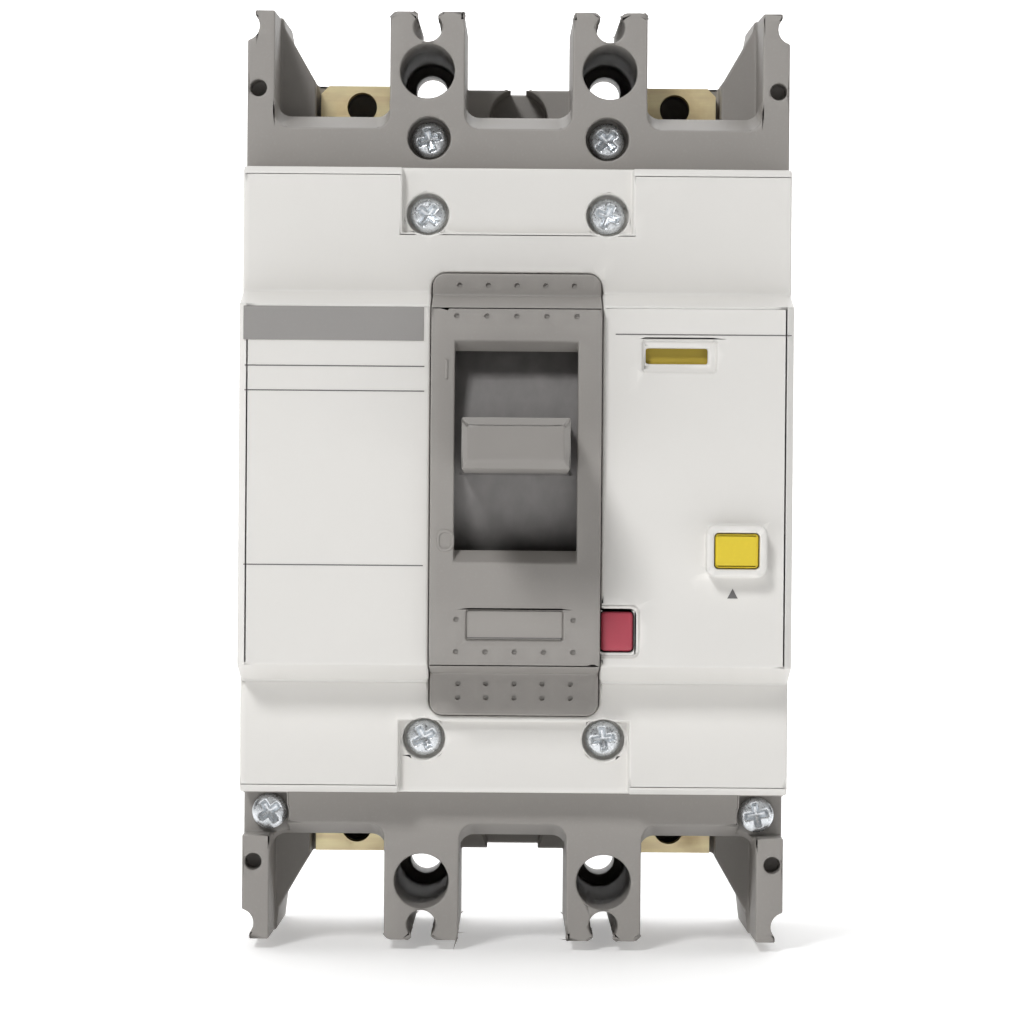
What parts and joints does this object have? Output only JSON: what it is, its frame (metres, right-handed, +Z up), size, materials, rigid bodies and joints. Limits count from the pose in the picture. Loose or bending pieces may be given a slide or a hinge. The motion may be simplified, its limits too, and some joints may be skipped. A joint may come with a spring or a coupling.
{
  "type": "earth-leakage circuit breaker",
  "caption": "Moulded-case earth-leakage breaker in a dark case with a white front cover, a tilting handle in a curved window, a test button, a trip button and bare screw terminals.",
  "frame": {"origin": "centre of the four mounting holes, on the back face", "axes": "+Z up towards the line terminals, -Y out of the front, X across the poles"},
  "size_m": [0.075, 0.082, 0.13],
  "materials": {
    "base_moulding": "moulded, fine matt grain",
    "cover_moulding": "moulded, fine matt grain",
    "white_moulding": "moulded, satin",
    "zinc_screw": "bright zinc plated",
    "label_grey": "plain printed label",
    "handle_moulding": "moulded, satin",
    "plate_steel": "passivated sheet",
    "pin_steel": "turned",
    "spring_wire": "drawn wire",
    "trip_bar_moulding": "moulded",
    "crossbar_moulding": "phenolic",
    "copper": "bare copper",
    "contact_silver": "silver alloy",
    "terminal_brass": "tumbled brass",
    "fibre": "vulcanised fibre",
    "bimetal": "rolled strip",
    "core_strip": "wound strip",
    "sensor_case": "moulded",
    "lead_insulation": "insulated wire",
    "board_laminate": "green solder mask",
    "component_black": "moulded",
    "resistor_body": "lacquered",
    "coil_winding": "enamelled wire",
    "button_yellow": "moulded, satin",
    "button_red": "moulded, satin"
  },
  "bodies": {
    "root": {"base": "base_moulding", "main_cover": "cover_moulding", "front_cover": "white_moulding", "main_cover_screws": "zinc_screw", "front_cover_screws": "zinc_screw", "rating_plate": "label_grey", "name_band": "label_grey", "handle_pivots": "pin_steel", "side_plates": "plate_steel", "spacer_pins": "pin_steel", "cradle_pin": "pin_steel", "main_springs": "spring_wire", "latch_pin": "pin_steel", "trip_bar_spring": "spring_wire", "fixed_tips": "contact_silver", "left_line_terminal": "terminal_brass", "right_line_terminal": "terminal_brass", "left_arc_plates": "plate_steel", "right_arc_plates": "plate_steel", "arc_chute_frames": "fibre", "braids": "copper", "bimetals": "bimetal", "setting_screws": "terminal_brass", "magnet_yokes": "plate_steel", "armature_pins": "pin_steel", "load_terminals": "terminal_brass", "load_conductors": "copper", "sensor_core": "core_strip", "sensor_housing": "sensor_case", "sensor_leads": "lead_insulation", "circuit_board": "board_laminate", "board_components": "component_black", "test_resistor": "resistor_body", "coil_frame": "plate_steel", "trip_coil": "coil_winding", "test_spring": "spring_wire", "test_contacts": "terminal_brass", "trip_button_spring": "spring_wire"},
    "handle": {"handle": "handle_moulding", "handle_arm": "plate_steel"},
    "cradle": {"cradle": "plate_steel"},
    "upper_links": {"upper_links": "plate_steel", "link_pin": "pin_steel", "knee_pin": "pin_steel"},
    "crossbar": {"crossbar": "crossbar_moulding", "crank_pin": "pin_steel", "left_contact_arm": "copper", "right_contact_arm": "copper", "arm_pins": "pin_steel", "contact_springs": "spring_wire", "moving_tips": "contact_silver"},
    "lower_links": {"lower_links": "plate_steel"},
    "latch": {"latch": "plate_steel"},
    "trip_bar": {"trip_bar": "trip_bar_moulding"},
    "left_armature": {"left_armature": "plate_steel"},
    "right_armature": {"right_armature": "plate_steel"},
    "trip_plunger": {"trip_plunger": "pin_steel"},
    "leak_flag": {"leak_flag": "button_yellow"},
    "test_button": {"test_button": "button_yellow"},
    "trip_button": {"trip_button": "button_red"}
  },
  "joints": [
    {"name": "handle_tilt", "type": "hinge", "parent": "root", "child": "handle", "pos_m": [0, -0.034, 0.0036], "axis": [-1, 0, 0], "range_deg": [-16, 16], "deforming": ["main_springs"]},
    {"name": "crossbar_turn", "type": "hinge", "parent": "root", "child": "crossbar", "pos_m": [0, -0.013, 0.004], "axis": [-1, 0, 0], "range_deg": [-11, 11], "deforming": ["braids"]},
    {"name": "upper_link_turn", "type": "hinge", "parent": "root", "child": "upper_links", "pos_m": [0, -0.028, 0.008], "axis": [-1, 0, 0], "range_deg": [-12, 12]},
    {"name": "lower_link_turn", "type": "hinge", "parent": "crossbar", "child": "lower_links", "pos_m": [0, -0.018, -0.002], "axis": [-1, 0, 0], "range_deg": [-27, 27]},
    {"name": "cradle_turn", "type": "hinge", "parent": "root", "child": "cradle", "pos_m": [0, -0.024, 0.018], "axis": [1, 0, 0], "range_deg": [0, 6]},
    {"name": "trip_push", "type": "slide", "parent": "root", "child": "trip_button", "axis": [0, 1, 0], "range_m": [0, 0.0025], "stiffness_N_per_m": 400, "springref_m": -0.001, "deforming": ["trip_button_spring", "trip_bar_spring"]},
    {"name": "trip_bar_turn", "type": "hinge", "parent": "root", "child": "trip_bar", "pos_m": [0, -0.03, -0.012], "axis": [1, 0, 0], "range_deg": [0, 22]},
    {"name": "latch_turn", "type": "hinge", "parent": "root", "child": "latch", "pos_m": [0, -0.0185, -0.0081], "axis": [1, 0, 0], "range_deg": [0, 5]},
    {"name": "coil_pull", "type": "slide", "parent": "root", "child": "trip_plunger", "axis": [0, 0, -1], "range_m": [0, 0.002], "stiffness_N_per_m": 100, "springref_m": -0.001},
    {"name": "leak_flag_slide", "type": "slide", "parent": "root", "child": "leak_flag", "axis": [0, 0, 1], "range_m": [0, 0.0032]},
    {"name": "test_push", "type": "slide", "parent": "root", "child": "test_button", "axis": [0, 1, 0], "range_m": [0, 0.0018], "stiffness_N_per_m": 400, "springref_m": -0.001, "deforming": ["test_spring"]},
    {"name": "left_armature_turn", "type": "hinge", "parent": "root", "child": "left_armature", "pos_m": [0, -0.021, -0.0127], "axis": [-1, 0, 0], "range_deg": [0, 6]},
    {"name": "right_armature_turn", "type": "hinge", "parent": "root", "child": "right_armature", "pos_m": [0, -0.021, -0.0127], "axis": [-1, 0, 0], "range_deg": [0, 6]}
  ],
  "couplings": [
    {"joint": "crossbar_turn", "follows": "handle_tilt", "ratio": 0.675},
    {"joint": "upper_link_turn", "follows": "handle_tilt", "ratio": 0.54},
    {"joint": "lower_link_turn", "follows": "handle_tilt", "ratio": -1.485},
    {"joint": "trip_bar_turn", "follows": "trip_push", "rad_per_m": 139.63},
    {"joint": "latch_turn", "follows": "trip_push", "rad_per_m": 31.416},
    {"joint": "leak_flag_slide", "follows": "coil_pull", "ratio": 1.5}
  ]
}
